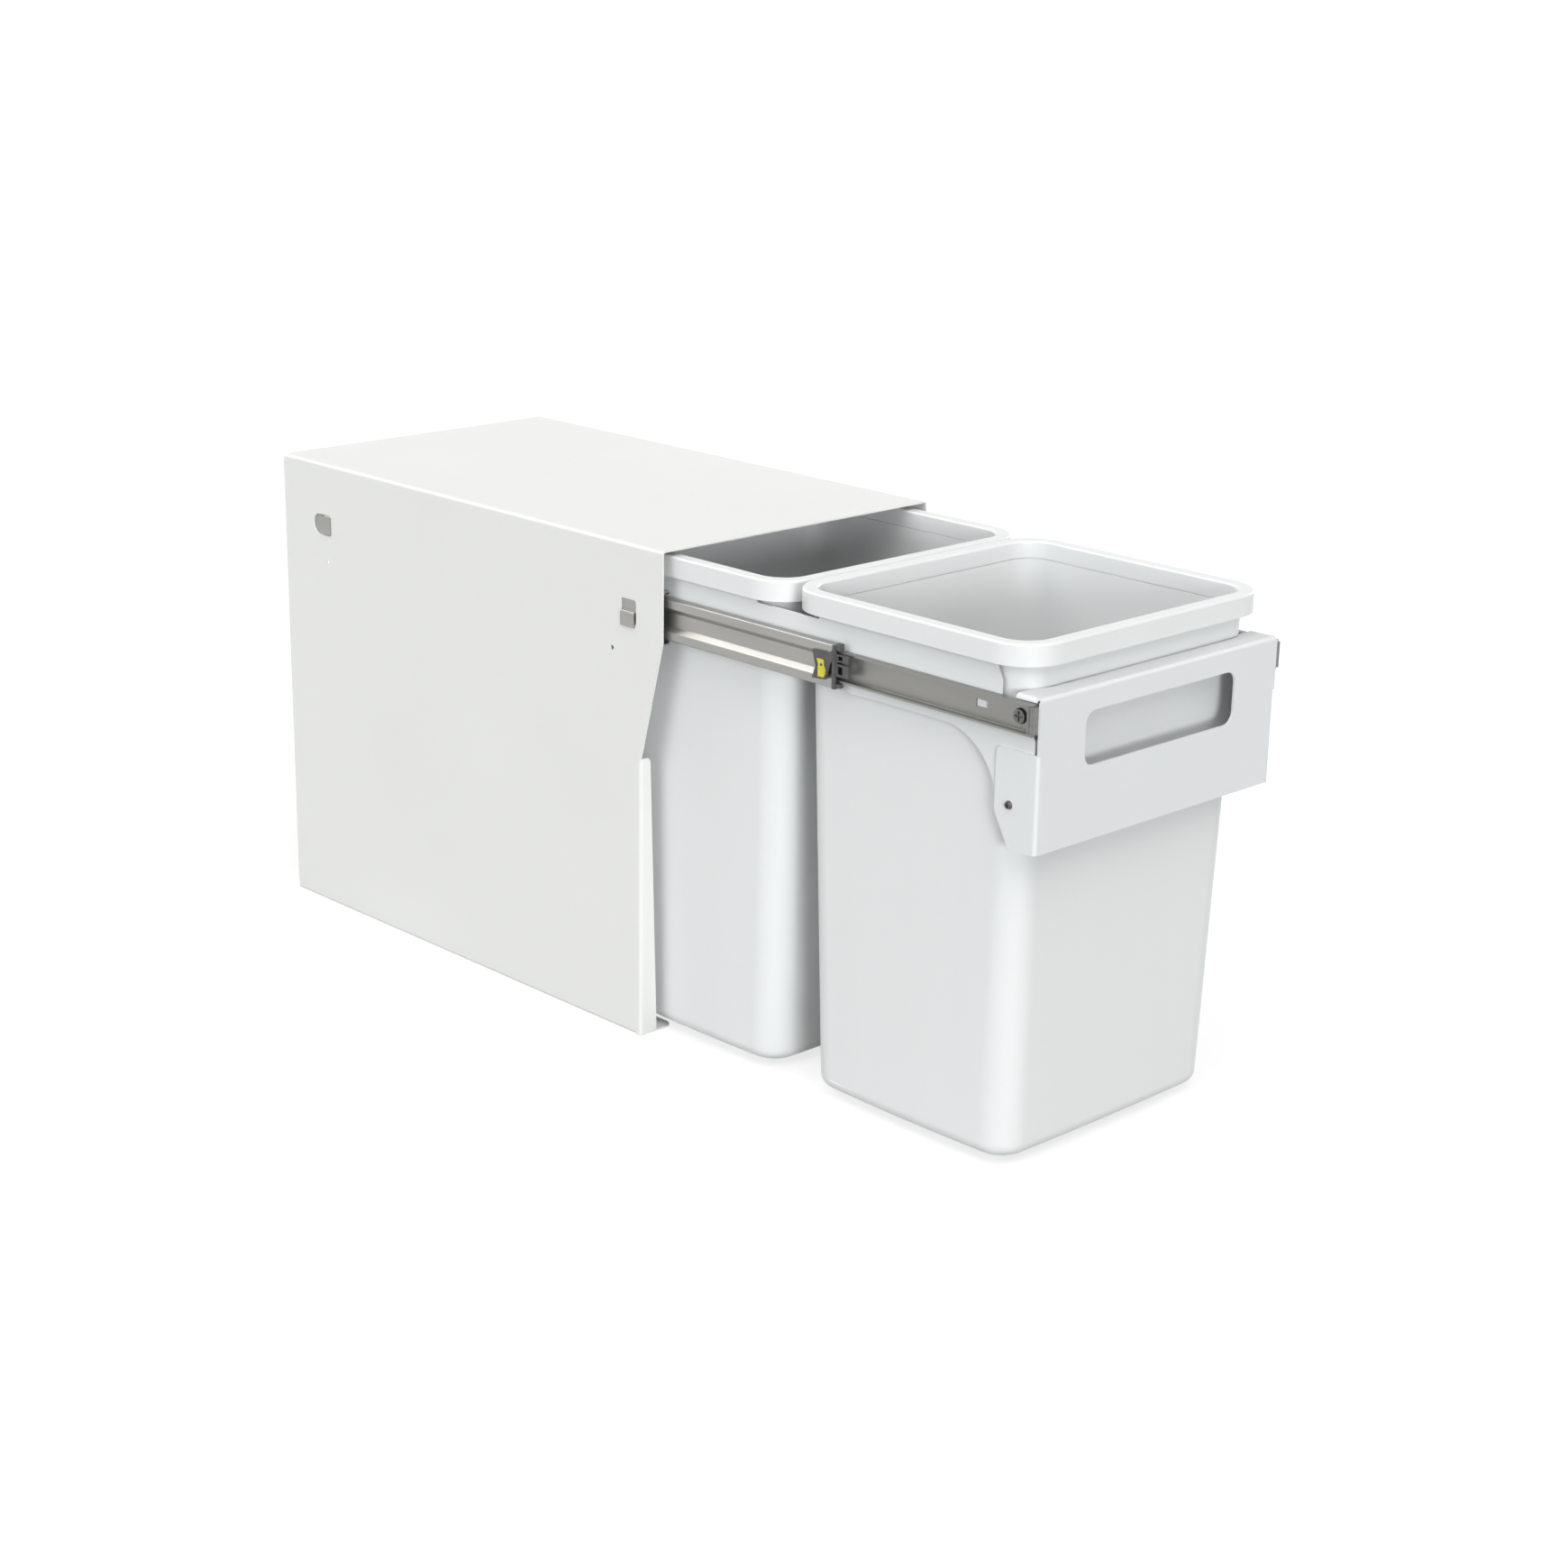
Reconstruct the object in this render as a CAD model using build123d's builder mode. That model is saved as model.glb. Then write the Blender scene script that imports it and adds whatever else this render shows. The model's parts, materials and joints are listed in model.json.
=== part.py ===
"""Pull-out waste bin for a narrow kitchen cabinet: two buckets on full-extension slides.

Millimetres. +X is right, -Y is out of the cabinet, +Z is up. The origin is on the cabinet floor,
at the middle of the four base fixing holes. The carriage stands part way out of the housing.
"""

import os

from build123d import *

# Housing: one folded sheet, open at the front, the back and the floor
housing_width = 260.0
housing_depth = 450.0
housing_height = 361.0
housing_sheet = 1.0
housing_bend = 2.0  # fold radius at the middle of the sheet
front_recess = 22.5  # how far the lower front edge lies behind the upper one
front_flange_top = 9.0  # width of the front return at its top
front_flange_bottom = 15.5
front_flange_corner = 4.0
bottom_flange = 32.0
bottom_flange_corner = 8.0
rear_flange = 12.0
slant_top_drop = 16.7  # start of the slanted front edge below the middle of the slide
handle_to_flange = 17.2  # top of the front return below the handle panel
base_hole_inset_x = 16.0
base_hole_inset_y = 55.0
base_hole_radius = 2.5
side_hole_radius = 1.75
side_hole_spacing = 340.0
side_hole_first = 53.0  # from the front edge of the housing
side_hole_drop = 29.2  # below the middle of the slide

# Pose: how far the carriage stands out, and the part of that which the middle members take
pull_at_rest = 330.0
middle_share = 0.54
outer_cage_share = middle_share / 2
inner_cage_share = (1 + middle_share) / 2

# Slides: three members on two rows of balls each
slide_thickness = 12.5
slide_front_setback = 4.0
slide_rear_setback = 3.0
inner_half_height = 10.2
inner_depth = 6.0
inner_sheet = 1.2
ball_diameter = 2.8
race_clearance = 0.3
middle_sheet = 1.0
middle_lip_offset = 3.6  # outer face of the middle member from the housing wall
middle_web_recess = 3.6  # how far its web lies behind its lips
middle_inner_gap = 1.5  # middle member short of the inner face of the slide
middle_lip_height = 6.0
middle_setback = 18.2  # front end of the closed middle member behind the housing edge
outer_sheet = 1.2
outer_lip = 9.4
race_hem = 1.6
slide_bend = 0.9
stop_length = 6.5
stop_gap = 1.0
inner_window_back = 48.1  # window of the inner member behind the front of the handle panel
inner_window_length = 9.6
inner_window_height = 5.0
inner_window_rise = 0.8  # above the middle of the slide

# Hooks of the outer members, standing through slots in the housing
hook_gap = 0.2
hook_width = 14.0
hook_overlap = 1.5  # how far a hook reaches past the edge of its slot
hook_root = 3.6  # flat length that a hook shares with the member
front_slot_from_front = 35.7
front_slot_length = 16.0
front_slot_height = 18.0
slot_corner = 2.0
rear_slot_from_front = 399.4
rear_slot_length = 21.5
rear_slot_height = 16.0

# Ball cages
cage_sheet = 0.8
cage_wall_gap = 0.6
cage_hole_clearance = 0.2
cage_arm = 6.0
cage_strip = 4.0
ball_pitch = 27.0
balls_per_row = 7
outer_cage_first = 127.0  # front of the closed outer cage behind the housing edge
outer_cage_length = 190.0
inner_cage_first = 123.0
inner_cage_length = 205.0
cage_lip_gap = 1.0

# End block on the middle member, with its latch frame and lever
block_plate = 2.6
block_proud = 0.6  # block plate past the lips of the middle member
block_clearance = 0.9  # round the inner member and its cap
block_skin = 1.9
knob_length = 4.0
knob_rise = 1.6  # upper knob above the middle member
lower_knob_height = 2.4
knob_width = 4.0
knob_corner = 1.0
prong_length = 11.7
prong_recess = 0.6  # prongs behind the face of the block
prong_top = 9.2
prong_bottom = 5.6
prong_gap = 1.6
prong_gap_rise = 3.5
prong_window = 4.8
prong_window_back = 4.0  # middle of the windows ahead of the block plate
prong_windows = ((6.7, 3.0), (-1.4, 5.4))  # middle above the middle of the slide, and height
frame_plate = 0.9
frame_gap = 0.1
frame_length = 17.6
frame_corner = 0.4
frame_plug_length = 6.0
frame_plug_height = 8.4
# Outline of the latch frame, in shares of its length and of the middle member's half height
frame_shape = [
    (1.02, 0.61),
    (0.84, -0.15),
    (1.02, -0.72),
    (0.3, -0.64),
    (0.09, 0.12),
    (-0.06, 0.36),
    (-0.06, 0.72),
    (0.05, 0.72),
    (0.21, 0.56),
    (0.32, 0.66),
]
lever_plate = 0.7
lever_gap = 0.2
lever_pivot_radius = 0.9
lever_pivot_clearance = 0.2
lever_pivot_from_end = 8.6  # behind the front end of the middle member
lever_length = 11.8
lever_corner = 0.4
# Outline of the release lever round its pivot, in shares of its length
lever_shape = [
    (0.36, 0.31),
    (0.22, 0.0),
    (0.26, -0.14),
    (0.26, -0.69),
    (-0.18, -0.69),
    (-0.3, -0.49),
    (-0.3, -0.19),
    (-0.18, -0.03),
    (-0.18, 0.22),
    (-0.08, 0.31),
]

# End cap on the inner member
cap_length = 5.0
cap_lip = 1.2
cap_skin = 0.6
cap_clearance = 0.3
cap_rib = 0.6
cap_rib_width = 1.2
cap_rib_pitch = 2.4

# Buckets
bin_depth = 214.0
bin_gap = 1.0
bin_wall = 2.0
bin_ledge = 0.4  # step inside the bucket below the rim
groove_height = 0.7  # groove round the bucket above that step
groove_depth = 1.0
bin_draw_in_x = 7.0  # taper on each side
bin_draw_in_y = 8.6
bin_crown_x = 2.4  # bow of the side walls at the bottom
bin_crown_y = 1.5
bin_top_crown = 0.2
bin_top_corner = 19.0
bin_bottom_corner = 22.0
bin_bottom_radius = 9.0
rim_height = 14.5
rim_corner = 30.0
rim_edge = 1.6
rim_clearance = 2.5  # between the rim channel and the rail
ledge_rise = 1.8  # ledge above the lower edge of the rim
bin_top_gap = 3.5  # under the top of the housing
floor_gap = 5.0

# Side rails
rail_sheet = 1.5
rail_rise = 41.8  # seat of the rim above the middle of the slide
rail_dip = 15.7  # rail edge between the buckets below the seat
rail_drop = 17.7  # lower edge below the middle of the slide
rail_ramp = 2.0
rail_shoulder = 6.5  # front shoulder above the middle of the slide
rail_shoulder_reach = 6.5  # shoulder ahead of the seat
rail_slope = 23.7  # height of the sloped front edge below the seat
rail_slope_setback = 4.5  # upper end of that edge behind the end of the seat
rail_front_gap = 3.0  # behind the handle panel
rail_neck = 4.0
rail_past_slide = 1.7  # rear end of the rail behind that of the inner member
gusset_radius = 47.0
gusset_drop = 62.0  # lower end of the gusset below the lower edge of the rail
gusset_width = 32.0
gusset_toe = 16.0
rail_corner = 2.0
seat_clearance = 1.5  # seat short of the round corners of the rim

# Handle panel
handle_sheet = 1.5
handle_bend = 1.8
handle_proud = 1.5  # ahead of the housing when closed
handle_height = 100.6
handle_rise = 13.6  # top above the middle of the slide
handle_to_rim = 8.7
cutout_length = 149.0
cutout_height = 36.0
cutout_corner = 8.5
cutout_from_top = 15.7
side_flange_depth = 34.5
side_flange_height = 64.3
side_flange_chamfer_y = 12.0
side_flange_chamfer_z = 22.3
side_flange_corner = 4.0
top_flange_depth = 20.2
top_flange_gap = 2.8  # round the bucket
top_flange_corner = 28.0
tab_gap = 0.4  # end tabs above the inner members
corner_relief = 1.0

# Rear crossbar
crossbar_sheet = 1.5
crossbar_bend = 2.0
crossbar_gap = 3.5
crossbar_flange = 20.0
crossbar_top_drop = 6.0  # below the lower edge of the rim
crossbar_height = 40.0

# Screws and rivets
screw_clearance = 0.2
slide_screw_radius = 1.9
slide_screw_head = 5.2
slide_screw_head_height = 2.0
slide_screw_first = 16.0  # behind the front of the handle panel
slide_screw_spacing = 340.0
handle_screw_radius = 1.6
handle_screw_head = 2.9
handle_screw_head_height = 1.6
handle_screw_back = 22.5
handle_screw_rise = 28.2  # above the lower edge of the handle panel
screw_tail = 1.4  # past the inner face of the rail
recess_width = 1.1
recess_depth = 1.0
recess_share = 0.62  # cross recess across the head
head_taper = 20.0  # degrees
rivet_radius = 1.6
rivet_head = 2.8
rivet_head_height = 1.0
rivet_pitch = 11.0
rivet_inset = 5.0
rivet_rise = 19.0  # above the middle of the slide

# Places worked out from the driving dimensions
through = 2 * housing_width
front_y = -housing_depth / 2
rear_y = housing_depth / 2
lower_front_y = front_y + front_recess
base_hole_spacing_x = housing_width - 2 * base_hole_inset_x
base_hole_spacing_y = housing_depth - 2 * base_hole_inset_y
housing_fold = housing_bend + housing_sheet / 2
side_x = housing_width / 2 - housing_sheet / 2
slide_x = -(housing_width / 2 - housing_sheet)
rim_top = housing_height - housing_sheet - bin_top_gap
rim_bottom = rim_top - rim_height
seat_z = rim_top - bin_wall
slide_z = seat_z - rail_rise
slant_top_z = slide_z - slant_top_drop
handle_top = slide_z + handle_rise
handle_bottom = handle_top - handle_height
slant_bottom_z = handle_bottom - handle_to_flange

middle_half_height = inner_half_height + ball_diameter + 2 * race_clearance + middle_sheet
outer_half_height = middle_half_height + ball_diameter + 2 * race_clearance + outer_sheet
inner_ball_v = inner_half_height + race_clearance + ball_diameter / 2
outer_ball_v = middle_half_height + race_clearance + ball_diameter / 2
middle_web_u = middle_lip_offset + middle_web_recess
middle_end_u = slide_thickness - middle_inner_gap
inner_open_u = slide_thickness - inner_depth

middle_shift = middle_share * pull_at_rest
slide_front_y = front_y + slide_front_setback
slide_rear_y = rear_y - slide_rear_setback
slide_length = slide_rear_y - slide_front_y
middle_front_y = front_y + middle_setback - middle_shift
middle_rear_y = slide_rear_y - stop_length - stop_gap - middle_shift
handle_front_y = front_y - handle_proud - pull_at_rest
handle_back_y = handle_front_y + handle_sheet
inner_front_y = handle_back_y + cap_lip

rail_outer_x = slide_x + slide_thickness
rail_inner_x = rail_outer_x + rail_sheet
rail_front_y = handle_back_y + rail_front_gap
front_bin_y = handle_front_y + handle_to_rim + bin_depth / 2
rear_bin_y = front_bin_y + bin_depth + bin_gap
crossbar_y = rear_bin_y + bin_depth / 2 + crossbar_gap
rail_rear_y = crossbar_y + crossbar_sheet
inner_rear_y = rail_rear_y - rail_past_slide
rail_bottom_z = slide_z - rail_drop
handle_half_width = -rail_outer_x + handle_sheet

rim_half_width = -rail_outer_x + rim_clearance + bin_wall
collar_half_width = -rail_inner_x - rim_clearance
rim_width = rim_half_width - collar_half_width + bin_wall
seat_half_length = bin_depth / 2 - rim_corner - seat_clearance


def slide_plane(y):
    """Section plane of the left slide: x counts from the housing wall, y from the slide's middle."""
    return Plane(origin=(slide_x, y, slide_z), x_dir=(1, 0, 0), z_dir=(0, -1, 0))


def side_plane(x):
    """Plane of a side piece: x runs along +Y, y along +Z, and extrusion goes along +X."""
    return Plane(origin=(x, 0, 0), x_dir=(0, 1, 0), z_dir=(1, 0, 0))


def folded_sheet(plane, points, bend, sheet, length):
    """Add a folded sheet whose middle line goes through the points, extruded from the plane."""
    with BuildSketch(plane) as profile:
        with BuildLine():
            FilletPolyline(*points, radius=bend)
        trace(line_width=sheet)
    extrude(profile.sketch, amount=length)


def bin_half_width(z):
    """Outside half width of a bucket at a height."""
    top = rim_half_width - rim_width + bin_wall - bin_ledge
    return top - bin_draw_in_x * (rim_bottom + ledge_rise - z) / (rim_bottom + ledge_rise - floor_gap)


def bin_half_depth(z):
    """Outside half depth of a bucket at a height."""
    top = bin_depth / 2 - rim_width + bin_wall - bin_ledge
    return top - bin_draw_in_y * (rim_bottom + ledge_rise - z) / (rim_bottom + ledge_rise - floor_gap)


# Housing
with BuildPart() as housing:
    folded_sheet(
        Plane.XZ.offset(-(rear_y - housing_fold)),
        [
            (-housing_width / 2 + bottom_flange, housing_sheet / 2),
            (-side_x, housing_sheet / 2),
            (-side_x, housing_height - housing_sheet / 2),
            (side_x, housing_height - housing_sheet / 2),
            (side_x, housing_sheet / 2),
            (housing_width / 2 - bottom_flange, housing_sheet / 2),
        ],
        housing_bend,
        housing_sheet,
        housing_depth - housing_fold,
    )
    # The side panels slant back to the lower front edge
    with BuildSketch(Plane.YZ):
        with BuildLine():
            Polyline(
                (front_y, slant_top_z),
                (lower_front_y, slant_bottom_z),
                (lower_front_y + housing_fold, slant_bottom_z),
                (lower_front_y + housing_fold, housing_sheet),
                (lower_front_y, housing_sheet),
                (lower_front_y, -housing_sheet),
                (front_y - housing_sheet, -housing_sheet),
                (front_y - housing_sheet, slant_top_z),
                close=True,
            )
        make_face()
    extrude(amount=through, both=True, mode=Mode.SUBTRACT)
    # Front returns
    for side in (-1, 1):
        folded_sheet(
            Plane.XY,
            [
                (side * side_x, lower_front_y + 2 * housing_fold),
                (side * side_x, lower_front_y + housing_sheet / 2),
                (side * (side_x - 2 * housing_fold), lower_front_y + housing_sheet / 2),
            ],
            housing_bend,
            housing_sheet,
            slant_bottom_z,
        )
    with BuildSketch(Plane.XZ.offset(-(lower_front_y + housing_sheet))) as front_return:
        with BuildLine():
            Polyline(
                (housing_width / 2 - housing_fold, 0),
                (housing_width / 2 - front_flange_bottom, 0),
                (housing_width / 2 - front_flange_top, slant_bottom_z),
                (housing_width / 2 - housing_fold, slant_bottom_z),
                close=True,
            )
        make_face()
        fillet(front_return.vertices().group_by(Axis.Y)[-1].sort_by(Axis.X)[0], front_flange_corner)
        mirror(about=Plane.YZ)
    extrude(amount=housing_sheet)
    # Rear returns, with a relief notch at each corner
    for side in (-1, 1):
        folded_sheet(
            Plane.XY.offset(2 * housing_fold),
            [
                (side * side_x, rear_y - 2 * housing_fold),
                (side * side_x, rear_y - housing_sheet / 2),
                (side * (housing_width / 2 - rear_flange), rear_y - housing_sheet / 2),
            ],
            housing_bend,
            housing_sheet,
            housing_height - 4 * housing_fold,
        )
    folded_sheet(
        side_plane(-housing_width / 2 + rear_flange + housing_fold),
        [
            (rear_y - 2 * housing_fold, housing_height - housing_sheet / 2),
            (rear_y - housing_sheet / 2, housing_height - housing_sheet / 2),
            (rear_y - housing_sheet / 2, housing_height - rear_flange),
        ],
        housing_bend,
        housing_sheet,
        housing_width - 2 * (rear_flange + housing_fold),
    )
    # Round inner corners of the bottom returns
    flange_inner_x = housing_width / 2 - bottom_flange + housing_sheet
    flange_ends = housing.edges().filter_by(Axis.Z).filter_by(lambda e: abs(e.center().X) < flange_inner_x)
    fillet(flange_ends.filter_by(lambda e: e.center().Z < housing_sheet), bottom_flange_corner)
    # Hook slots and side fixing holes through both side panels
    with BuildSketch(Plane.YZ):
        with Locations((front_y + front_slot_from_front, slide_z)):
            RectangleRounded(front_slot_length, front_slot_height, slot_corner)
        with Locations((front_y + rear_slot_from_front - rear_slot_length / 2, slide_z)):
            Rectangle(
                rear_slot_length - rear_slot_height / 2, rear_slot_height, align=(Align.MIN, Align.CENTER)
            )
        with Locations((front_y + rear_slot_from_front + (rear_slot_length - rear_slot_height) / 2, slide_z)):
            Circle(rear_slot_height / 2)
        with Locations((front_y + side_hole_first, slide_z - side_hole_drop)):
            Circle(side_hole_radius)
        with Locations((front_y + side_hole_first + side_hole_spacing, slide_z - side_hole_drop)):
            Circle(side_hole_radius)
    extrude(amount=through, both=True, mode=Mode.SUBTRACT)
    # Base fixing holes in the bottom returns
    with BuildSketch(Plane.XY):
        with GridLocations(base_hole_spacing_x, base_hole_spacing_y, 2, 2):
            Circle(base_hole_radius)
    extrude(amount=housing_sheet, mode=Mode.SUBTRACT)

# Slide outer member, hooked into the housing
hook_u = -housing_sheet - hook_gap - outer_sheet / 2
front_hook_y = front_y + front_slot_from_front
front_hook_end = -front_slot_height / 2 - hook_overlap
rear_hook_y = front_y + rear_slot_from_front
rear_hook_end = rear_hook_y - rear_slot_length / 2 - hook_overlap
with BuildPart() as slide_outer:
    folded_sheet(
        slide_plane(slide_rear_y),
        [
            (outer_lip - outer_sheet / 2, outer_half_height - outer_sheet - race_hem),
            (outer_lip - outer_sheet / 2, outer_half_height - outer_sheet / 2),
            (outer_sheet / 2, outer_half_height - outer_sheet / 2),
            (outer_sheet / 2, -outer_half_height + outer_sheet / 2),
            (outer_lip - outer_sheet / 2, -outer_half_height + outer_sheet / 2),
            (outer_lip - outer_sheet / 2, -outer_half_height + outer_sheet + race_hem),
        ],
        slide_bend,
        outer_sheet,
        slide_length,
    )
    # Windows that the hooks are cut from
    with BuildSketch(side_plane(slide_x)):
        with Locations((front_hook_y, slide_z)):
            Rectangle(hook_width, front_slot_height / 2 + hook_overlap, align=(Align.CENTER, Align.MAX))
        with Locations((rear_hook_y, slide_z)):
            Rectangle(rear_slot_length / 2 + hook_overlap, hook_width, align=(Align.MAX, Align.CENTER))
    extrude(amount=outer_sheet, mode=Mode.SUBTRACT)
    # Front hook points down, rear hook points forward
    folded_sheet(
        slide_plane(front_hook_y + hook_width / 2),
        [(outer_sheet / 2, hook_root), (outer_sheet / 2, 0), (hook_u, 0), (hook_u, front_hook_end)],
        slide_bend,
        outer_sheet,
        hook_width,
    )
    folded_sheet(
        Plane.XY.offset(slide_z - hook_width / 2),
        [
            (slide_x + outer_sheet / 2, rear_hook_y + hook_root),
            (slide_x + outer_sheet / 2, rear_hook_y),
            (slide_x + hook_u, rear_hook_y),
            (slide_x + hook_u, rear_hook_end),
        ],
        slide_bend,
        outer_sheet,
        hook_width,
    )

# Rear stop inside the outer member
with BuildPart() as rear_stop:
    with BuildSketch(slide_plane(slide_rear_y)):
        with Locations((outer_sheet, 0)):
            Rectangle(
                middle_end_u - 2 * outer_sheet, 2 * inner_half_height, align=(Align.MIN, Align.CENTER)
            )
    extrude(amount=stop_length)
    fillet(rear_stop.edges().filter_by(Axis.Y).group_by(Axis.X)[-1], outer_sheet)

# Slide middle member
middle_lip_u = middle_lip_offset + middle_sheet / 2
middle_slope_v = middle_half_height - middle_lip_height
with BuildPart() as slide_middle:
    upper_half = [
        (middle_end_u - middle_sheet / 2, middle_half_height - middle_sheet - race_hem),
        (middle_end_u - middle_sheet / 2, middle_half_height - middle_sheet / 2),
        (middle_lip_u, middle_half_height - middle_sheet / 2),
        (middle_lip_u, middle_slope_v),
        (middle_web_u + middle_sheet / 2, middle_slope_v - middle_web_recess),
    ]
    folded_sheet(
        slide_plane(middle_rear_y),
        upper_half + [(u, -v) for u, v in reversed(upper_half)],
        slide_bend,
        middle_sheet,
        middle_rear_y - middle_front_y,
    )

# Slide inner member
slide_screw_places = [
    (handle_front_y + slide_screw_first, slide_z),
    (handle_front_y + slide_screw_first + slide_screw_spacing, slide_z),
]
with BuildPart() as slide_inner:
    folded_sheet(
        slide_plane(inner_rear_y),
        [
            (inner_open_u, inner_half_height - inner_sheet / 2),
            (slide_thickness - inner_sheet / 2, inner_half_height - inner_sheet / 2),
            (slide_thickness - inner_sheet / 2, -inner_half_height + inner_sheet / 2),
            (inner_open_u, -inner_half_height + inner_sheet / 2),
        ],
        slide_bend,
        inner_sheet,
        inner_rear_y - inner_front_y,
    )
    # Screw holes and the small square window near the front
    with BuildSketch(side_plane(rail_outer_x - inner_sheet)):
        with Locations(*slide_screw_places):
            Circle(slide_screw_radius + screw_clearance)
        with Locations((handle_front_y + inner_window_back, slide_z + inner_window_rise)):
            Rectangle(inner_window_length, inner_window_height)
    extrude(amount=inner_sheet, mode=Mode.SUBTRACT)

# Ball cages: a C-shaped strip round the middle member, and two flat strips over the inner member
ball_run = (balls_per_row - 1) * ball_pitch
outer_cage_front = front_y + outer_cage_first - outer_cage_share * pull_at_rest
inner_cage_front = front_y + inner_cage_first - inner_cage_share * pull_at_rest
outer_ball_u = outer_sheet + cage_wall_gap + cage_arm - ball_diameter / 2 - cage_sheet
inner_strip_u = middle_lip_offset + middle_sheet + cage_lip_gap
inner_ball_u = inner_strip_u + cage_strip / 2


def ball_places(front, length, u):
    """Places of one row of balls along a cage, seen from above."""
    first = front + (length - ball_run) / 2
    return [(slide_x + u, first + number * ball_pitch) for number in range(balls_per_row)]


outer_ball_places = ball_places(outer_cage_front, outer_cage_length, outer_ball_u)
inner_ball_places = ball_places(inner_cage_front, inner_cage_length, inner_ball_u)
with BuildPart() as outer_cage:
    cage_u = outer_sheet + cage_wall_gap + cage_sheet / 2
    folded_sheet(
        slide_plane(outer_cage_front + outer_cage_length),
        [
            (outer_sheet + cage_wall_gap + cage_arm, outer_ball_v),
            (cage_u, outer_ball_v),
            (cage_u, -outer_ball_v),
            (outer_sheet + cage_wall_gap + cage_arm, -outer_ball_v),
        ],
        slide_bend,
        cage_sheet,
        outer_cage_length,
    )
    with BuildSketch(Plane.XY.offset(slide_z)):
        with Locations(*outer_ball_places):
            Circle(ball_diameter / 2 + cage_hole_clearance)
    extrude(amount=2 * outer_half_height, both=True, mode=Mode.SUBTRACT)

with BuildPart() as inner_cage:
    for row in (-1, 1):
        with BuildSketch(Plane.XY.offset(slide_z + row * inner_ball_v - cage_sheet / 2)):
            with Locations((slide_x + inner_strip_u, inner_cage_front)):
                Rectangle(cage_strip, inner_cage_length, align=(Align.MIN, Align.MIN))
            with Locations(*inner_ball_places):
                Circle(ball_diameter / 2 + cage_hole_clearance, mode=Mode.SUBTRACT)
        extrude(amount=cage_sheet)

with BuildPart() as outer_balls:
    for row in (-1, 1):
        with Locations(*[(x, y, slide_z + row * outer_ball_v) for x, y in outer_ball_places]):
            Sphere(ball_diameter / 2)

with BuildPart() as inner_balls:
    for row in (-1, 1):
        with Locations(*[(x, y, slide_z + row * inner_ball_v) for x, y in inner_ball_places]):
            Sphere(ball_diameter / 2)

# End block on the front of the middle member, with the latch frame beside it
block_u = middle_lip_offset - block_proud
block_window_v = inner_half_height + block_clearance
block_front_y = middle_front_y - block_plate
pivot_y = middle_front_y + lever_pivot_from_end
frame_u = middle_lip_offset - frame_gap - frame_plate
with BuildPart() as end_block:
    with BuildSketch(slide_plane(middle_front_y)):
        with Locations((block_u, 0)):
            Rectangle(middle_end_u - block_u, 2 * middle_half_height, align=(Align.MIN, Align.CENTER))
        with Locations((block_u + block_skin, 0)):
            Rectangle(middle_end_u, 2 * block_window_v, align=(Align.MIN, Align.CENTER), mode=Mode.SUBTRACT)
    extrude(amount=block_plate)
    # Knobs above and below the inner member
    upper_knob_height = middle_half_height + knob_rise - block_window_v
    with BuildSketch(slide_plane(block_front_y)):
        with Locations((middle_lip_offset, block_window_v)):
            RectangleRounded(knob_width, upper_knob_height, knob_corner, align=(Align.MIN, Align.MIN))
        with Locations((middle_lip_offset, -block_window_v)):
            RectangleRounded(knob_width, lower_knob_height, knob_corner, align=(Align.MIN, Align.MAX))
    extrude(amount=knob_length)
    # Two prongs beside the inner member, each with a small window
    with BuildSketch(side_plane(slide_x + block_u + prong_recess)):
        with Locations((block_front_y - prong_length, slide_z - prong_bottom)):
            Rectangle(prong_length, prong_top + prong_bottom, align=(Align.MIN, Align.MIN))
        with Locations((block_front_y - prong_length, slide_z + prong_gap_rise)):
            Rectangle(prong_length, prong_gap, align=(Align.MIN, Align.CENTER), mode=Mode.SUBTRACT)
        for rise, height in prong_windows:
            with Locations((block_front_y - prong_window_back, slide_z + rise)):
                Rectangle(prong_window, height, mode=Mode.SUBTRACT)
    extrude(amount=block_skin - prong_recess)
    # Latch frame, hourglass shaped, on a plug that sits on the web
    with BuildSketch(side_plane(slide_x + frame_u)):
        with BuildLine():
            FilletPolyline(
                *[
                    (middle_front_y + along * frame_length, slide_z + up * middle_half_height)
                    for along, up in frame_shape
                ],
                radius=frame_corner,
                close=True,
            )
        make_face()
    extrude(amount=frame_plate)
    with BuildSketch(side_plane(slide_x + frame_u)):
        with Locations((pivot_y, slide_z)):
            Rectangle(frame_plug_length, frame_plug_height)
    extrude(amount=middle_web_u - frame_u)
    with BuildSketch(side_plane(slide_x + frame_u)):
        with Locations((pivot_y, slide_z)):
            Circle(lever_pivot_radius)
    extrude(amount=-(lever_plate + lever_gap))

# Release lever, on the pivot of the latch frame
with BuildPart() as release_lever:
    with BuildSketch(side_plane(slide_x + frame_u - lever_gap)):
        with BuildLine():
            FilletPolyline(
                *[(pivot_y + along * lever_length, slide_z + up * lever_length) for along, up in lever_shape],
                radius=lever_corner,
                close=True,
            )
        make_face()
        with Locations((pivot_y, slide_z)):
            Circle(lever_pivot_radius + lever_pivot_clearance, mode=Mode.SUBTRACT)
    extrude(amount=-lever_plate)

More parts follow.
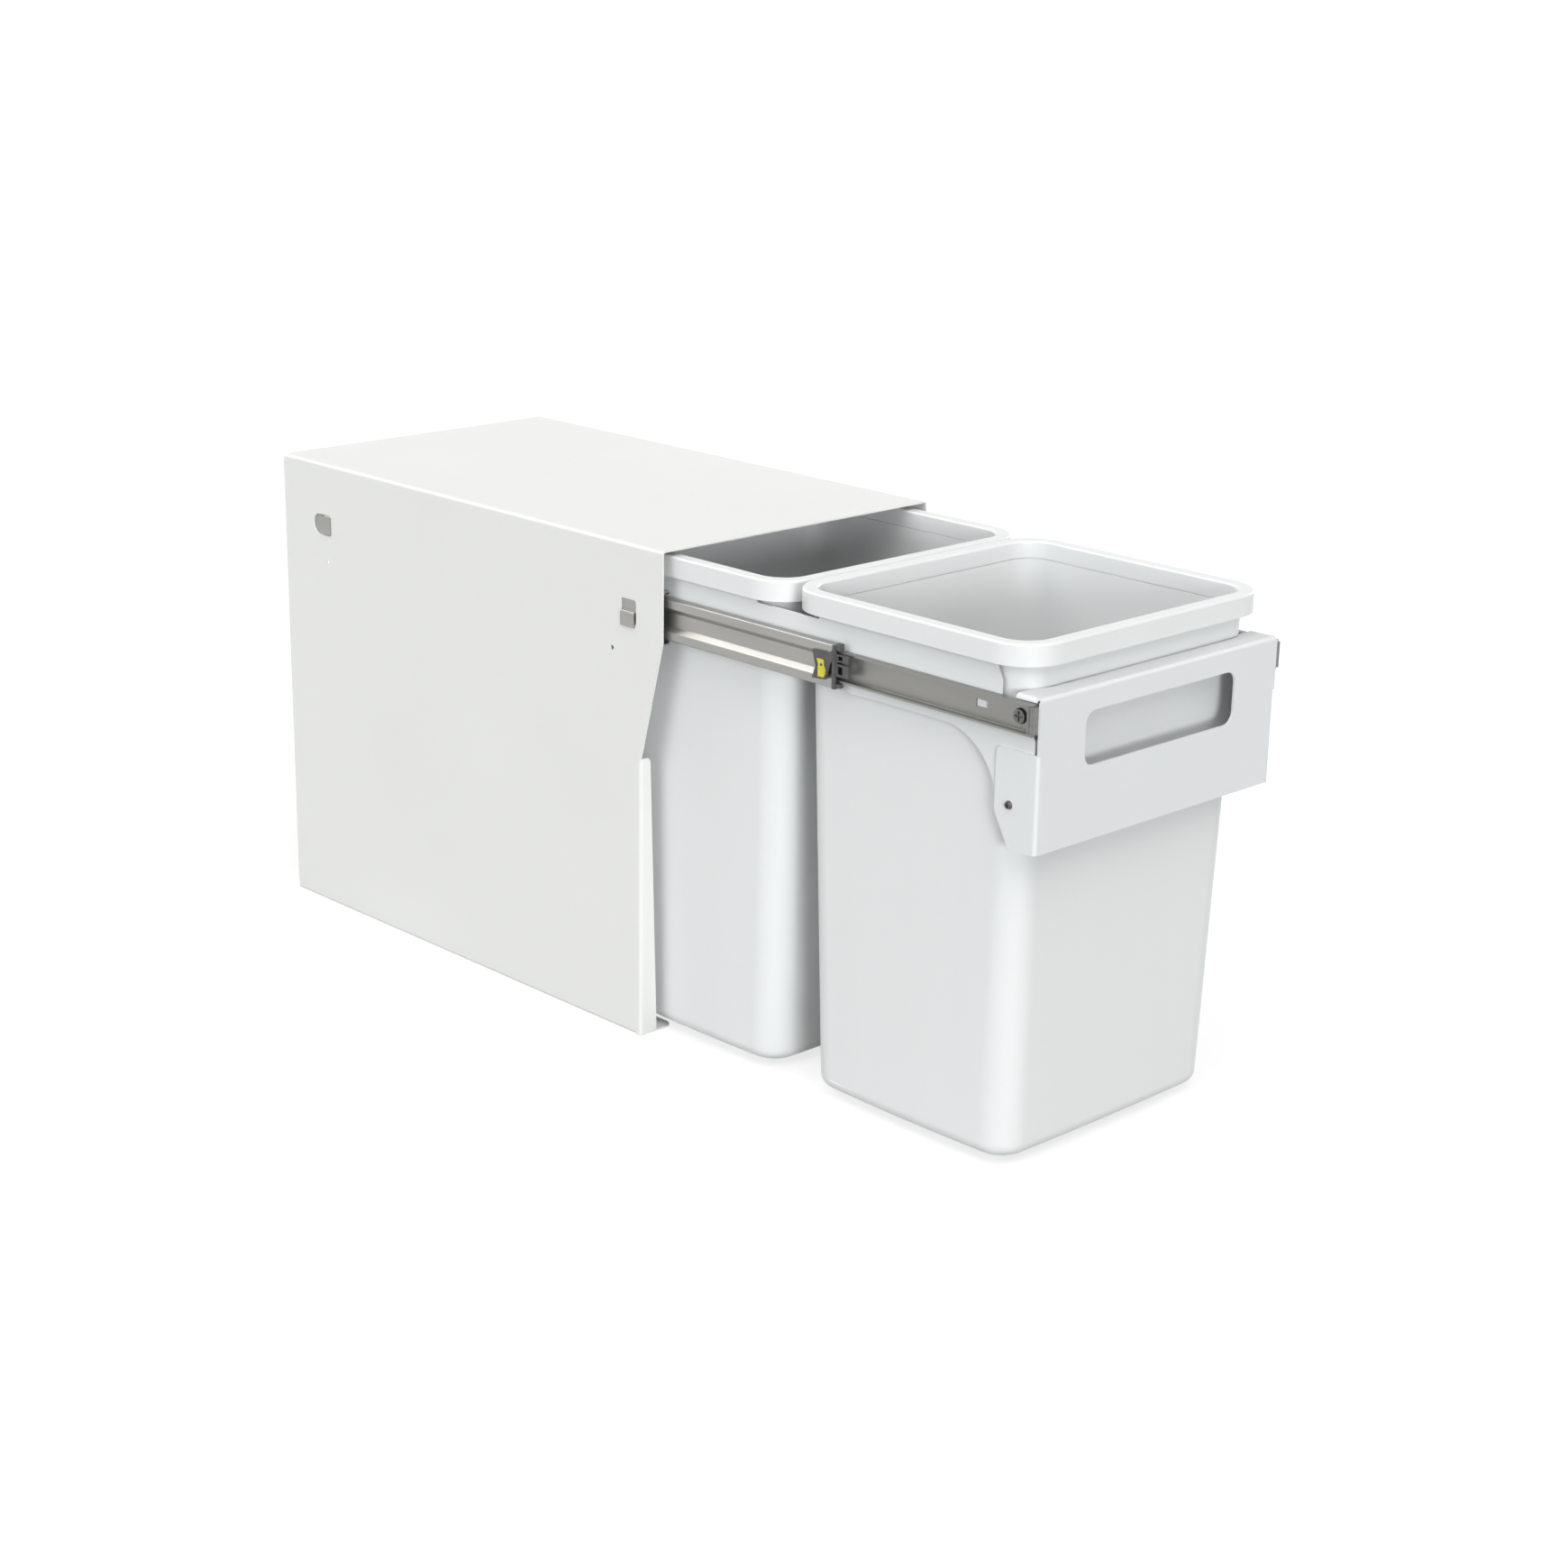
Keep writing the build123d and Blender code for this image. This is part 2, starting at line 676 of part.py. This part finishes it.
# Ribbed cap on the front end of the inner member
with BuildPart() as end_cap:
    cap_height = 2 * (inner_half_height - inner_sheet - cap_clearance)
    cap_rear_y = handle_back_y + cap_length
    with BuildSketch(slide_plane(cap_rear_y)):
        with Locations((inner_open_u - cap_skin, 0)):
            Rectangle(inner_depth - inner_sheet + cap_skin, cap_height, align=(Align.MIN, Align.CENTER))
    extrude(amount=cap_length)
    with BuildSketch(side_plane(slide_x + inner_open_u - cap_skin)):
        with Locations((cap_rear_y - cap_length / 2, slide_z)):
            with GridLocations(cap_rib_pitch, cap_height, 2, 1):
                Rectangle(cap_rib_width, cap_height)
    extrude(amount=-cap_rib)

# Side rail: two seats for the rims, and a gusset that carries the handle panel
dip_z = seat_z - rail_dip
front_seat_y = front_bin_y - seat_half_length
gusset_y = handle_front_y + gusset_width + rail_front_gap + handle_sheet
handle_screw_place = (handle_front_y + handle_screw_back, handle_bottom + handle_screw_rise)
rivet_places = [
    (crossbar_y - rivet_inset, slide_z + rivet_rise),
    (crossbar_y - rivet_inset - rivet_pitch, slide_z + rivet_rise),
]
rail_points = [
    (rail_rear_y, rail_bottom_z),
    (rail_rear_y, dip_z),
    (rear_bin_y + seat_half_length + rail_ramp, dip_z),
    (rear_bin_y + seat_half_length, seat_z),
    (rear_bin_y - seat_half_length, seat_z),
    (rear_bin_y - seat_half_length - rail_ramp, dip_z),
    (front_bin_y + seat_half_length + rail_ramp, dip_z),
    (front_bin_y + seat_half_length, seat_z),
    (front_seat_y + rail_slope_setback, seat_z),
    (front_seat_y - rail_shoulder_reach, seat_z - rail_slope),
    (front_seat_y - rail_shoulder_reach, slide_z + rail_shoulder),
    (rail_front_y + rail_neck, slide_z + rail_shoulder),
    (rail_front_y + rail_neck, slide_z - inner_half_height),
    (rail_front_y, slide_z - inner_half_height - rail_neck),
    (rail_front_y, rail_bottom_z - gusset_drop),
    (gusset_y - gusset_toe, rail_bottom_z - gusset_drop),
    (gusset_y - rail_ramp, rail_bottom_z - gusset_drop + gusset_toe),
]
gusset_corner = (gusset_y, rail_bottom_z)
rail_radii = [rail_corner] * len(rail_points) + [gusset_radius]
with BuildPart() as rail:
    with BuildSketch(side_plane(rail_outer_x)):
        with BuildLine():
            FilletPolyline(*rail_points, gusset_corner, radius=rail_radii, close=True)
        make_face()
        with Locations(*slide_screw_places):
            Circle(slide_screw_radius + screw_clearance, mode=Mode.SUBTRACT)
        with Locations(handle_screw_place):
            Circle(handle_screw_radius + screw_clearance, mode=Mode.SUBTRACT)
        with Locations(*rivet_places):
            Circle(rivet_radius, mode=Mode.SUBTRACT)
    extrude(amount=rail_sheet)

# Handle panel: front, top flange with end tabs, and side flanges
handle_fold = handle_bend + handle_sheet / 2
flange_top_z = handle_bottom + side_flange_height
cutout_z = handle_top - cutout_from_top - cutout_height / 2
top_flange_back = handle_front_y + top_flange_depth
with BuildPart() as handle_panel:
    with BuildSketch(Plane.XZ.offset(-handle_back_y)):
        with Locations((0, handle_bottom)):
            Rectangle(
                2 * (handle_half_width - handle_fold), side_flange_height, align=(Align.CENTER, Align.MIN)
            )
        with Locations((0, flange_top_z)):
            Rectangle(
                2 * handle_half_width,
                handle_height - side_flange_height - handle_fold,
                align=(Align.CENTER, Align.MIN),
            )
        with Locations((0, cutout_z)):
            RectangleRounded(cutout_length, cutout_height, cutout_corner, mode=Mode.SUBTRACT)
    extrude(amount=handle_sheet)
    # Top fold, short of the corners by a relief notch
    folded_sheet(
        side_plane(-handle_half_width + corner_relief),
        [
            (handle_back_y - handle_sheet / 2, handle_top - 2 * handle_fold),
            (handle_back_y - handle_sheet / 2, handle_top - handle_sheet / 2),
            (handle_front_y + 2 * handle_fold, handle_top - handle_sheet / 2),
        ],
        handle_bend,
        handle_sheet,
        2 * (handle_half_width - corner_relief),
    )
    with BuildSketch(Plane.XY.offset(handle_top - handle_sheet)):
        with Locations((0, handle_front_y + handle_fold)):
            Rectangle(
                2 * (handle_half_width - handle_fold),
                top_flange_depth - handle_fold,
                align=(Align.CENTER, Align.MIN),
            )
        with Locations((0, front_bin_y)):
            RectangleRounded(
                2 * (bin_half_width(handle_top) + top_flange_gap),
                2 * (bin_half_depth(handle_top) + top_flange_gap),
                top_flange_corner,
                mode=Mode.SUBTRACT,
            )
    extrude(amount=handle_sheet)
    # End tabs of the top flange, and the side flanges
    for side in (-1, 1):
        tab_x = side * (handle_half_width - handle_sheet / 2)
        folded_sheet(
            Plane.XZ.offset(-top_flange_back),
            [
                (side * (handle_half_width - 2 * handle_fold), handle_top - handle_sheet / 2),
                (tab_x, handle_top - handle_sheet / 2),
                (tab_x, slide_z + inner_half_height + tab_gap),
            ],
            handle_bend,
            handle_sheet,
            top_flange_depth - handle_fold - corner_relief,
        )
        folded_sheet(
            Plane.XY.offset(handle_bottom),
            [
                (side * (handle_half_width - 2 * handle_fold), handle_back_y - handle_sheet / 2),
                (tab_x, handle_back_y - handle_sheet / 2),
                (tab_x, handle_front_y + side_flange_depth),
            ],
            handle_bend,
            handle_sheet,
            side_flange_height,
        )
    # Round the ends of the top fold like the end tabs
    with BuildSketch(Plane.XZ.offset(-handle_front_y - handle_fold)):
        with Locations((handle_half_width - handle_fold, handle_top - handle_fold)):
            Rectangle(handle_fold, handle_fold, align=(Align.MIN, Align.MIN))
            Circle(handle_fold, mode=Mode.SUBTRACT)
        mirror(about=Plane.YZ)
    extrude(amount=handle_fold, mode=Mode.SUBTRACT)
    # Chamfer and round the rear edge of the side flanges, and drill them
    with BuildSketch(Plane.YZ):
        flange_rear = handle_front_y + side_flange_depth
        with BuildLine():
            Polyline(
                (flange_rear, handle_bottom),
                (flange_rear - side_flange_chamfer_y, handle_bottom),
                (flange_rear, handle_bottom + side_flange_chamfer_z),
                close=True,
            )
        make_face()
        with Locations(handle_screw_place):
            Circle(handle_screw_radius + screw_clearance)
    extrude(amount=through, both=True, mode=Mode.SUBTRACT)
    flange_corners = handle_panel.edges().filter_by(Axis.X).group_by(Axis.Y)[-1].group_by(Axis.Z)[-1]
    fillet(flange_corners, side_flange_corner)

# Rear crossbar, folded forward along both rails
with BuildPart() as rear_crossbar:
    crossbar_bottom = rim_bottom - crossbar_top_drop - crossbar_height
    crossbar_x = -rail_inner_x - crossbar_sheet / 2
    folded_sheet(
        Plane.XY.offset(crossbar_bottom),
        [
            (-crossbar_x, crossbar_y - crossbar_flange),
            (-crossbar_x, crossbar_y + crossbar_sheet / 2),
            (crossbar_x, crossbar_y + crossbar_sheet / 2),
            (crossbar_x, crossbar_y - crossbar_flange),
        ],
        crossbar_bend,
        crossbar_sheet,
        crossbar_height,
    )
    with BuildSketch(Plane.YZ):
        with Locations(*rivet_places):
            Circle(rivet_radius)
    extrude(amount=through, both=True, mode=Mode.SUBTRACT)


def bucket_section(z, inset, crown_x, crown_y, corner):
    """Outline of the bucket at a height: four bowed sides with round corners, inset if asked."""
    half_x = bin_half_width(z) - inset
    half_y = bin_half_depth(z) - inset
    with BuildSketch(Plane.XY.offset(z)) as section:
        with BuildLine():
            ThreePointArc((-half_x, -half_y), (0, -half_y - crown_y), (half_x, -half_y))
            ThreePointArc((half_x, -half_y), (half_x + crown_x, 0), (half_x, half_y))
            ThreePointArc((half_x, half_y), (0, half_y + crown_y), (-half_x, half_y))
            ThreePointArc((-half_x, half_y), (-half_x - crown_x, 0), (-half_x, -half_y))
        make_face()
        fillet(section.vertices(), corner - inset)
    return section.sketch


# Bucket with an inverted channel for a rim, made at the origin of the plan
ledge_z = rim_bottom + ledge_rise
collar_corner = rim_corner - rim_width + bin_wall
with BuildPart() as cavity:
    loft(
        [
            bucket_section(floor_gap + bin_wall, bin_wall, bin_crown_x, bin_crown_y, bin_bottom_corner),
            bucket_section(ledge_z, bin_wall, bin_top_crown, bin_top_crown, bin_top_corner),
        ],
        ruled=True,
    )
    fillet(cavity.faces().sort_by(Axis.Z)[0].edges(), bin_bottom_radius - bin_wall)
with BuildPart() as bucket:
    loft(
        [
            bucket_section(floor_gap, 0, bin_crown_x, bin_crown_y, bin_bottom_corner),
            bucket_section(ledge_z, 0, bin_top_crown, bin_top_crown, bin_top_corner),
        ],
        ruled=True,
    )
    fillet(bucket.faces().sort_by(Axis.Z)[0].edges(), bin_bottom_radius)
    with BuildSketch(Plane.XY.offset(rim_bottom)):
        RectangleRounded(2 * rim_half_width, bin_depth, rim_corner)
        RectangleRounded(
            2 * (rim_half_width - bin_wall),
            bin_depth - 2 * bin_wall,
            rim_corner - bin_wall,
            mode=Mode.SUBTRACT,
        )
        RectangleRounded(2 * collar_half_width, bin_depth - 2 * (rim_width - bin_wall), collar_corner)
    extrude(amount=rim_height)
    with BuildSketch(Plane.XY.offset(seat_z)):
        RectangleRounded(2 * rim_half_width, bin_depth, rim_corner)
    extrude(amount=bin_wall)
    fillet(bucket.faces().sort_by(Axis.Z)[-1].edges(), rim_edge)
    add(cavity.part, mode=Mode.SUBTRACT)
    with BuildSketch(Plane.XY.offset(ledge_z)):
        RectangleRounded(
            2 * (collar_half_width - bin_wall), bin_depth - 2 * rim_width, collar_corner - bin_wall
        )
    extrude(amount=rim_height, mode=Mode.SUBTRACT)
    with BuildSketch(Plane.XY.offset(ledge_z)):
        RectangleRounded(
            2 * (collar_half_width - bin_wall + groove_depth),
            bin_depth - 2 * (rim_width - groove_depth),
            collar_corner - bin_wall + groove_depth,
        )
    extrude(amount=groove_height, mode=Mode.SUBTRACT)
    fillet(bucket.faces().sort_by(Axis.Z)[-1].inner_wires().edges(), rim_edge)

with BuildPart() as front_bin:
    with Locations((0, front_bin_y, 0)):
        add(bucket.part)

with BuildPart() as rear_bin:
    with Locations((0, rear_bin_y, 0)):
        add(bucket.part)


def headed_pin(x, place, head_radius, head_height, shank_radius, shank_length):
    """Add a pan head whose underside is at x, with a shank that runs inwards along +X."""
    with BuildSketch(side_plane(x)) as head:
        with Locations(place):
            Circle(head_radius)
    extrude(head.sketch, amount=-head_height, taper=head_taper)
    with BuildSketch(side_plane(x)) as shank:
        with Locations(place):
            Circle(shank_radius)
    extrude(shank.sketch, amount=shank_length)


def cross_recess(x, place, head_radius):
    """Cut a cross recess into a head whose top is at x."""
    with BuildSketch(side_plane(x)) as cross:
        with Locations(place):
            Rectangle(2 * recess_share * head_radius, recess_width)
            Rectangle(recess_width, 2 * recess_share * head_radius)
    extrude(cross.sketch, amount=recess_depth, mode=Mode.SUBTRACT)


# Screws that hold the inner members to the rails
with BuildPart() as slide_screws:
    for place in slide_screw_places:
        head_x = rail_outer_x - inner_sheet
        shank = inner_sheet + rail_sheet + screw_tail
        headed_pin(head_x, place, slide_screw_head, slide_screw_head_height, slide_screw_radius, shank)
        cross_recess(head_x - slide_screw_head_height, place, slide_screw_head)
    mirror(about=Plane.YZ)

# Screws that hold the handle panel to the gussets
with BuildPart() as handle_screws:
    head_x = -handle_half_width
    shank = handle_sheet + rail_sheet + screw_tail
    headed_pin(
        head_x, handle_screw_place, handle_screw_head, handle_screw_head_height, handle_screw_radius, shank
    )
    cross_recess(head_x - handle_screw_head_height, handle_screw_place, handle_screw_head)
    mirror(about=Plane.YZ)

# Rivets that hold the crossbar to the rails
with BuildPart() as crossbar_rivets:
    for place in rivet_places:
        headed_pin(
            rail_outer_x, place, rivet_head, rivet_head_height, rivet_radius, rail_sheet + crossbar_sheet
        )
    mirror(about=Plane.YZ)

# One file for each node; pieces of the left side are mirrored for the right
single_pieces = {
    "housing": housing,
    "handle_panel": handle_panel,
    "rear_crossbar": rear_crossbar,
    "front_bin": front_bin,
    "rear_bin": rear_bin,
    "slide_screws": slide_screws,
    "handle_screws": handle_screws,
    "crossbar_rivets": crossbar_rivets,
}
side_pieces = {
    "slide_outer": slide_outer,
    "slide_middle": slide_middle,
    "slide_inner": slide_inner,
    "rear_stop": rear_stop,
    "outer_ball_cage": outer_cage,
    "inner_ball_cage": inner_cage,
    "outer_balls": outer_balls,
    "inner_balls": inner_balls,
    "end_block": end_block,
    "release_lever": release_lever,
    "slide_end_cap": end_cap,
    "rail": rail,
}

os.makedirs("parts", exist_ok=True)
for name, piece in single_pieces.items():
    piece.part.label = name
    export_step(piece.part, f"parts/{name}.step")
for name, piece in side_pieces.items():
    with BuildPart() as other_side:
        mirror(piece.part, about=Plane.YZ)
    piece.part.label = f"left_{name}"
    export_step(piece.part, f"parts/left_{name}.step")
    other_side.part.label = f"right_{name}"
    export_step(other_side.part, f"parts/right_{name}.step")
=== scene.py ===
"""Looks of the pull-out waste bin: materials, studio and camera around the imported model. Metres."""

import json
import math

import bpy
from mathutils import Euler, Matrix

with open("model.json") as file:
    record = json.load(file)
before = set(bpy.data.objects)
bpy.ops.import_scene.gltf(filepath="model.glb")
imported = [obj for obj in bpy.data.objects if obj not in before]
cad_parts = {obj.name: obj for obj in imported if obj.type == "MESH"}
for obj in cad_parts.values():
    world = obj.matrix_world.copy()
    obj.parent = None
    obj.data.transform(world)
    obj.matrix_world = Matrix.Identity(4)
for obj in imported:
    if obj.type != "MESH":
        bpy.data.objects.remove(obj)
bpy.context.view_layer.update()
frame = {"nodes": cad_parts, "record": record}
nodes = frame["nodes"]

# Camera of the photograph: degrees, metres and pixels
PHOTO_PIXELS = 1740
CAMERA_AZIMUTH = -44.16
CAMERA_ELEVATION = 17.55
CAMERA_ROLL = 0.97
CAMERA_PLACE = (-1.3909, -1.6451, 0.7976)
FOCAL_PIXELS = 3177.3
SENSOR_WIDTH = 36.0
CAMERA_REACH = 100.0

# Studio: soft suns by the direction they shine from, in degrees, and the light of the room
COOL_LIGHT = (0.98, 1.0, 1.0)
PALE_LIGHT = (1.0, 0.998, 0.965)
WARM_LIGHT = (1.0, 0.995, 0.96)
SUNS = {
    "high": {"azimuth": -20, "elevation": 60, "strength": 1.88, "spread": 60, "colour": PALE_LIGHT},
    "front": {"azimuth": -27, "elevation": 5, "strength": 1.9, "spread": 18, "colour": COOL_LIGHT},
    "left": {"azimuth": -92, "elevation": 24, "strength": 1.25, "spread": 46, "colour": COOL_LIGHT},
    "back": {"azimuth": -160, "elevation": 45, "strength": 0.7, "spread": 24, "colour": WARM_LIGHT},
    "right": {"azimuth": 100, "elevation": 8, "strength": 1.5, "spread": 20, "colour": COOL_LIGHT},
    "rear": {"azimuth": 178, "elevation": 8, "strength": 1.3, "spread": 20, "colour": COOL_LIGHT},
}
ROOM_LIGHT = 0.10
FLOOR_SIZE = 60.0
FLOOR_TONE = (0.30, 0.30, 0.30, 1)
FLOOR_GLOW = 0.74
PLAIN_WHITE = (1, 1, 1, 1)

# Base colours, linear
HOUSING_WHITE = (0.777, 0.777, 0.77)
PANEL_GREY = (0.735, 0.748, 0.76)
BUCKET_GREY = (0.75, 0.762, 0.767)
ZINC = (0.36, 0.355, 0.34)
# Darker copy of the zinc for the inner slide members: painted shade, the same steel as the rest of the
# slide
INNER_ZINC_PAINTED_SHADE = (0.28, 0.277, 0.265)
DARK_PLASTIC = (0.072, 0.073, 0.072)
CAP_PLASTIC = (0.21, 0.21, 0.205)
LEVER_YELLOW = (0.62, 0.56, 0.05)
SCREW_STEEL = (0.16, 0.16, 0.16)
BALL_STEEL = (0.72, 0.72, 0.73)
SHADE_PLACES = (0.3, 0.7)  # where noise turns to the darker and the lighter shade of a colour


def add_camera():
    """Camera at the photograph's place and angle."""
    camera = bpy.data.cameras.new("camera")
    camera.sensor_width = SENSOR_WIDTH
    camera.lens = FOCAL_PIXELS * SENSOR_WIDTH / PHOTO_PIXELS
    camera.clip_end = CAMERA_REACH
    holder = bpy.data.objects.new("camera", camera)
    holder.location = CAMERA_PLACE
    aim = Euler((math.radians(90 - CAMERA_ELEVATION), 0, math.radians(CAMERA_AZIMUTH))).to_matrix()
    roll = Matrix.Rotation(math.radians(CAMERA_ROLL), 3, "Z")
    holder.rotation_euler = (aim @ roll).to_euler()
    bpy.context.scene.collection.objects.link(holder)
    bpy.context.scene.camera = holder


def add_sun(name, azimuth, elevation, strength, spread, colour):
    """Soft light from a direction: azimuth 0 shines from -Y, and -90 from -X."""
    light = bpy.data.lights.new(name, "SUN")
    light.energy = strength
    light.color = colour
    light.angle = math.radians(spread)
    holder = bpy.data.objects.new(name, light)
    holder.rotation_euler = (math.radians(90 - elevation), 0, math.radians(azimuth))
    bpy.context.scene.collection.objects.link(holder)


def add_node(tree, kind, **inputs):
    """Shader node with its plain input values set by name."""
    node = tree.nodes.new(kind)
    for name, value in inputs.items():
        node.inputs[name].default_value = value
    return node


def seen_directly(tree):
    """1 for rays that see the studio itself: from the camera, by reflection or through something clear."""
    path = add_node(tree, "ShaderNodeLightPath")
    seen = path.outputs["Is Camera Ray"]
    for kind in ("Is Glossy Ray", "Is Transmission Ray"):
        either = add_node(tree, "ShaderNodeMath")
        either.operation = "MAXIMUM"
        tree.links.new(seen, either.inputs[0])
        tree.links.new(path.outputs[kind], either.inputs[1])
        seen = either.outputs[0]
    return seen


def spread_between(tree, factor, low, high):
    """Value between low and high, by a factor from 0 to 1."""
    spread = add_node(tree, "ShaderNodeMapRange", **{"To Min": low, "To Max": high})
    tree.links.new(factor, spread.inputs["Value"])
    return spread.outputs["Result"]


def add_room():
    """White surroundings that light the object softly."""
    world = bpy.data.worlds.new("room")
    world.use_nodes = True
    tree = world.node_tree
    background = tree.nodes["Background"]
    background.inputs["Color"].default_value = PLAIN_WHITE
    strength = spread_between(tree, seen_directly(tree), ROOM_LIGHT, 1.0)
    tree.links.new(strength, background.inputs["Strength"])
    bpy.context.scene.world = world


def add_floor():
    """White floor that keeps the shadow of the object."""
    half = FLOOR_SIZE / 2
    corners = [(-half, -half, 0), (half, -half, 0), (half, half, 0), (-half, half, 0)]
    mesh = bpy.data.meshes.new("floor")
    mesh.from_pydata(corners, [], [(0, 1, 2, 3)])
    floor = bpy.data.objects.new("floor", mesh)
    bpy.context.scene.collection.objects.link(floor)
    material = bpy.data.materials.new("floor")
    material.use_nodes = True
    tree = material.node_tree
    tree.nodes.clear()
    diffuse = add_node(tree, "ShaderNodeBsdfDiffuse", Color=FLOOR_TONE)
    glow = add_node(tree, "ShaderNodeEmission", Color=PLAIN_WHITE)
    tree.links.new(spread_between(tree, seen_directly(tree), 0.0, FLOOR_GLOW), glow.inputs["Strength"])
    both = add_node(tree, "ShaderNodeAddShader")
    tree.links.new(diffuse.outputs[0], both.inputs[0])
    tree.links.new(glow.outputs[0], both.inputs[1])
    output = add_node(tree, "ShaderNodeOutputMaterial")
    tree.links.new(both.outputs[0], output.inputs["Surface"])
    mesh.materials.append(material)


class Finish:
    """A procedural material under construction."""

    def __init__(self, name, colour, **inputs):
        self.material = bpy.data.materials.new(name)
        self.material.use_nodes = True
        self.tree = self.material.node_tree
        self.shader = self.tree.nodes["Principled BSDF"]
        for socket, value in inputs.items():
            self.shader.inputs[socket.replace("_", " ")].default_value = value
        self.colour = colour
        self.place = add_node(self.tree, "ShaderNodeTexCoord").outputs["Object"]
        self.normal = None

    def noise(self, per_metre, detail):
        """Noise from 0 to 1 with that many features to the metre along each axis."""
        stretch = add_node(self.tree, "ShaderNodeMapping", Scale=per_metre)
        self.tree.links.new(self.place, stretch.inputs["Vector"])
        noise = add_node(self.tree, "ShaderNodeTexNoise", Scale=1.0, Detail=detail)
        self.tree.links.new(stretch.outputs["Vector"], noise.inputs["Vector"])
        return noise.outputs["Fac"]

    def colours(self, factor, dark, light):
        """Base colour that goes from a darker to a lighter shade."""
        ramp = add_node(self.tree, "ShaderNodeValToRGB")
        for element, place, shade in zip(ramp.color_ramp.elements, SHADE_PLACES, (dark, light)):
            element.position = place
            element.color = (*[min(1.0, channel * shade) for channel in self.colour], 1)
        self.tree.links.new(factor, ramp.inputs["Fac"])
        self.tree.links.new(ramp.outputs["Color"], self.shader.inputs["Base Color"])

    def roughness(self, factor, low, high):
        """Roughness between two values."""
        result = spread_between(self.tree, factor, low, high)
        self.tree.links.new(result, self.shader.inputs["Roughness"])

    def bump(self, height, strength, depth):
        """Bump on top of the earlier ones, with its depth in metres."""
        bump = add_node(self.tree, "ShaderNodeBump", Strength=strength, Distance=depth)
        self.tree.links.new(height, bump.inputs["Height"])
        if self.normal:
            self.tree.links.new(self.normal, bump.inputs["Normal"])
        self.normal = bump.outputs["Normal"]
        self.tree.links.new(self.normal, self.shader.inputs["Normal"])


def powder_coat(name, colour):
    """Semi-matt powder coat: faint mottle, and the fine orange peel of the cured paint."""
    finish = Finish(name, colour, Specular_IOR_Level=0.14)
    mottle = finish.noise(per_metre=(7, 7, 7), detail=4)
    wave = finish.noise(per_metre=(140, 140, 140), detail=1)
    peel = finish.noise(per_metre=(900, 900, 900), detail=2)
    finish.colours(mottle, dark=0.985, light=1.01)
    finish.roughness(peel, low=0.42, high=0.58)
    finish.bump(wave, strength=0.05, depth=0.0003)
    finish.bump(peel, strength=0.12, depth=0.0001)
    return finish.material


def moulded_bucket(name, colour):
    """Polypropylene: faint flow lines, and a fine eroded texture from the mould."""
    finish = Finish(name, colour, Specular_IOR_Level=0.5)
    flow = finish.noise(per_metre=(26, 26, 2.2), detail=4)
    sink = finish.noise(per_metre=(18, 18, 5), detail=2)
    texture = finish.noise(per_metre=(1600, 1600, 1600), detail=2)
    finish.colours(flow, dark=0.992, light=1.006)
    finish.roughness(texture, low=0.30, high=0.44)
    finish.bump(sink, strength=0.03, depth=0.0012)
    finish.bump(texture, strength=0.10, depth=0.00008)
    return finish.material


def zinc_steel(name, colour):
    """Zinc-plated cold-rolled strip: fine lines along the slide, and a cloudy passivated sheen."""
    finish = Finish(name, colour, Metallic=0.9)
    lines = finish.noise(per_metre=(900, 5, 900), detail=3)
    cloud = finish.noise(per_metre=(60, 14, 60), detail=4)
    finish.colours(cloud, dark=0.95, light=1.05)
    finish.roughness(lines, low=0.30, high=0.50)
    finish.bump(lines, strength=0.08, depth=0.00006)
    return finish.material


def moulded_plastic(name, colour, smooth, rough):
    """Small moulded part with a fine satin texture."""
    finish = Finish(name, colour, Specular_IOR_Level=0.5)
    cloud = finish.noise(per_metre=(220, 220, 220), detail=3)
    texture = finish.noise(per_metre=(2200, 2200, 2200), detail=2)
    finish.colours(cloud, dark=0.86, light=1.12)
    finish.roughness(texture, low=smooth, high=rough)
    finish.bump(texture, strength=0.15, depth=0.00006)
    return finish.material


def hard_steel(name, colour, smooth, rough):
    """Plated or polished steel of screws and balls."""
    finish = Finish(name, colour, Metallic=1.0)
    wear = finish.noise(per_metre=(500, 500, 500), detail=3)
    grain = finish.noise(per_metre=(1500, 1500, 1500), detail=2)
    finish.colours(wear, dark=0.8, light=1.15)
    finish.roughness(wear, low=smooth, high=rough)
    finish.bump(grain, strength=0.06, depth=0.00004)
    return finish.material


finishes = {
    "housing_paint": powder_coat("white_powder_coat", HOUSING_WHITE),
    "panel_paint": powder_coat("grey_powder_coat", PANEL_GREY),
    "bucket_plastic": moulded_bucket("bucket_polypropylene", BUCKET_GREY),
    "slide_steel": zinc_steel("zinc_plated_steel", ZINC),
    # darker copy of the slide steel: painted shade on the inner members
    "inner_slide_painted_shade": zinc_steel("inner_slide_steel_painted_shade", INNER_ZINC_PAINTED_SHADE),
    "ball_steel": hard_steel("bearing_steel", BALL_STEEL, smooth=0.08, rough=0.16),
    "dark_plastic": moulded_plastic("dark_plastic", DARK_PLASTIC, smooth=0.40, rough=0.60),
    "cap_plastic": moulded_plastic("grey_plastic", CAP_PLASTIC, smooth=0.40, rough=0.60),
    "lever_plastic": moulded_plastic("yellow_plastic", LEVER_YELLOW, smooth=0.28, rough=0.42),
    "screw_steel": hard_steel("dark_screw_steel", SCREW_STEEL, smooth=0.25, rough=0.40),
}
# The inner members get a darker copy of the slide steel: painted shade that makes them read darker than
# the same steel would under these lamps
painted_shade_finish = {"left_slide_inner": "inner_slide_painted_shade", "right_slide_inner": "inner_slide_painted_shade"}
for subpart in frame["record"]["subparts"]:
    name = subpart["node"]
    mesh = nodes[name].data
    mesh.materials.clear()
    mesh.materials.append(finishes[painted_shade_finish.get(name, subpart["material_slot"])])

add_camera()
add_room()
add_floor()
for name, light in SUNS.items():
    add_sun(name, **light)
bpy.context.scene.view_settings.view_transform = "Standard"
